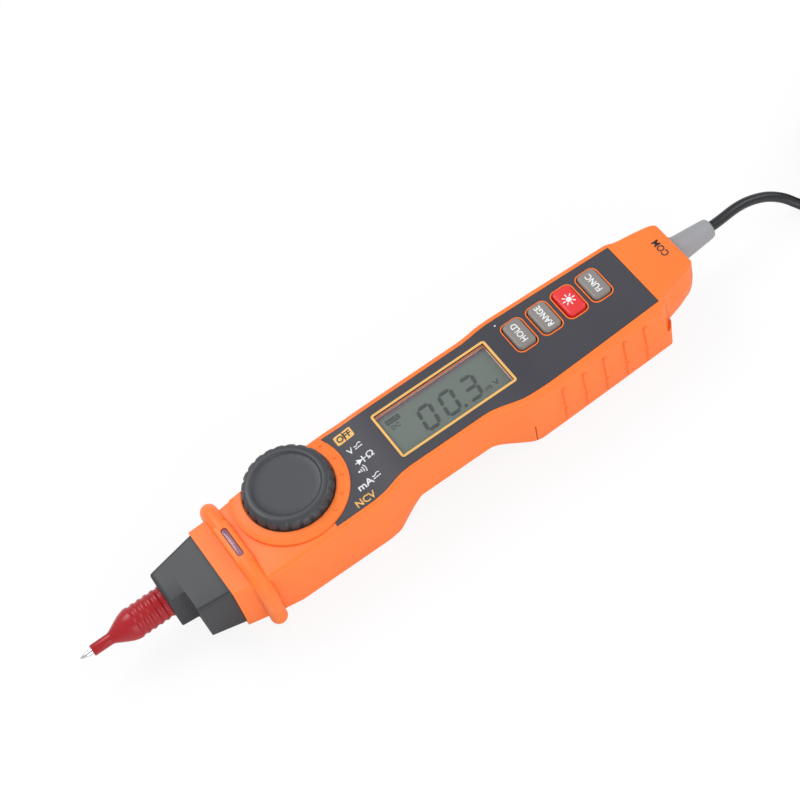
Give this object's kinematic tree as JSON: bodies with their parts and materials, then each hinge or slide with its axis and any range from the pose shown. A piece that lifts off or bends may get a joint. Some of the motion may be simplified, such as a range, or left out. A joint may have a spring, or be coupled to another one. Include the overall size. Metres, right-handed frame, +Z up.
{
  "type": "pen multimeter",
  "caption": "Pen-shaped digital multimeter with rotary selector, display, keys, guard ring, pull-out probe tip, battery cover and plugged lead with test probe.",
  "frame": {"origin": "middle of the meter's own box on the surface it lies on, leaving out the lead", "axes": "+X from the probe tip to the lead socket, +Y to the side that the knob is set towards, +Z up through the display"},
  "size_m": [0.3932, 0.0505, 0.0276],
  "materials": {
    "orange_shell": "fine satin",
    "nose_black": "fine satin",
    "panel_grey": "matt print film",
    "clear_window": "clear gloss",
    "knob_black": "satin",
    "white_plastic": "matt",
    "brass": "plain",
    "steel": "plated",
    "chrome": "bright plated",
    "light_pipe": "tinted translucent",
    "copper": "bare",
    "key_grey": "satin",
    "key_red": "satin",
    "silicone": "matt",
    "carbon": "matt",
    "lcd": "grey green display glass",
    "light_plate": "translucent",
    "board_green": "solder mask",
    "cell_sleeve": "printed sleeve",
    "probe_red": "satin",
    "plug_grey": "soft matt",
    "lead_black": "soft satin",
    "probe_black": "satin"
  },
  "bodies": {
    "case": {"front_case": "orange_shell", "rear_case": "orange_shell", "nose_block": "nose_black", "front_panel": "panel_grey", "lcd_window": "clear_window", "ncv_light_pipe": "light_pipe", "ncv_antenna": "copper", "keypad_mat": "silicone", "key_contacts": "carbon", "lcd_glass": "lcd", "lcd_holder": "white_plastic", "backlight_plate": "light_plate", "zebra_strips": "silicone", "main_board": "board_green", "chip": "carbon", "buzzer": "carbon", "battery_left": "cell_sleeve", "battery_right": "cell_sleeve", "battery_contacts": "steel", "probe_socket": "brass", "com_socket": "brass", "case_screws": "steel"},
    "selector": {"selector_knob": "knob_black", "switch_rotor": "white_plastic", "rotor_contacts": "brass", "detent_balls": "steel"},
    "hold": {"hold_key": "key_grey"},
    "range": {"range_key": "key_grey"},
    "backlight": {"backlight_key": "key_red"},
    "function": {"function_key": "key_grey"},
    "cover": {"battery_cover": "orange_shell", "cover_screw": "steel"},
    "probe": {"probe_sleeve": "probe_red", "probe_pin": "chrome"},
    "lead": {"plug_body": "plug_grey", "plug_pin": "brass", "lead_free": "lead_black", "lead_coil": "lead_black", "coil_tie": "lead_black", "lead_end": "lead_black", "test_probe": "probe_black", "test_probe_tip": "chrome"}
  },
  "joints": [
    {"name": "selector_turn", "type": "hinge", "parent": "case", "child": "selector", "pos_m": [-0.0297, 0.0044, 0.022], "axis": [0, 0, 1], "range_deg": [-60, 20]},
    {"name": "hold_press", "type": "slide", "parent": "case", "child": "hold", "axis": [0, 0, -1], "range_m": [0, 0.0006], "stiffness_N_per_m": 800},
    {"name": "range_press", "type": "slide", "parent": "case", "child": "range", "axis": [0, 0, -1], "range_m": [0, 0.0006], "stiffness_N_per_m": 800},
    {"name": "backlight_press", "type": "slide", "parent": "case", "child": "backlight", "axis": [0, 0, -1], "range_m": [0, 0.0006], "stiffness_N_per_m": 800},
    {"name": "function_press", "type": "slide", "parent": "case", "child": "function", "axis": [0, 0, -1], "range_m": [0, 0.0006], "stiffness_N_per_m": 800},
    {"name": "cover_lift_off", "type": "slide", "parent": "case", "child": "cover", "axis": [0, 0, -1], "range_m": [0, 0.012]},
    {"name": "probe_pull_out", "type": "slide", "parent": "case", "child": "probe", "axis": [-1, 0, 0], "range_m": [0, 0.018]},
    {"name": "lead_pull_out", "type": "slide", "parent": "case", "child": "lead", "axis": [1, 0, 0], "range_m": [0, 0.014]}
  ]
}
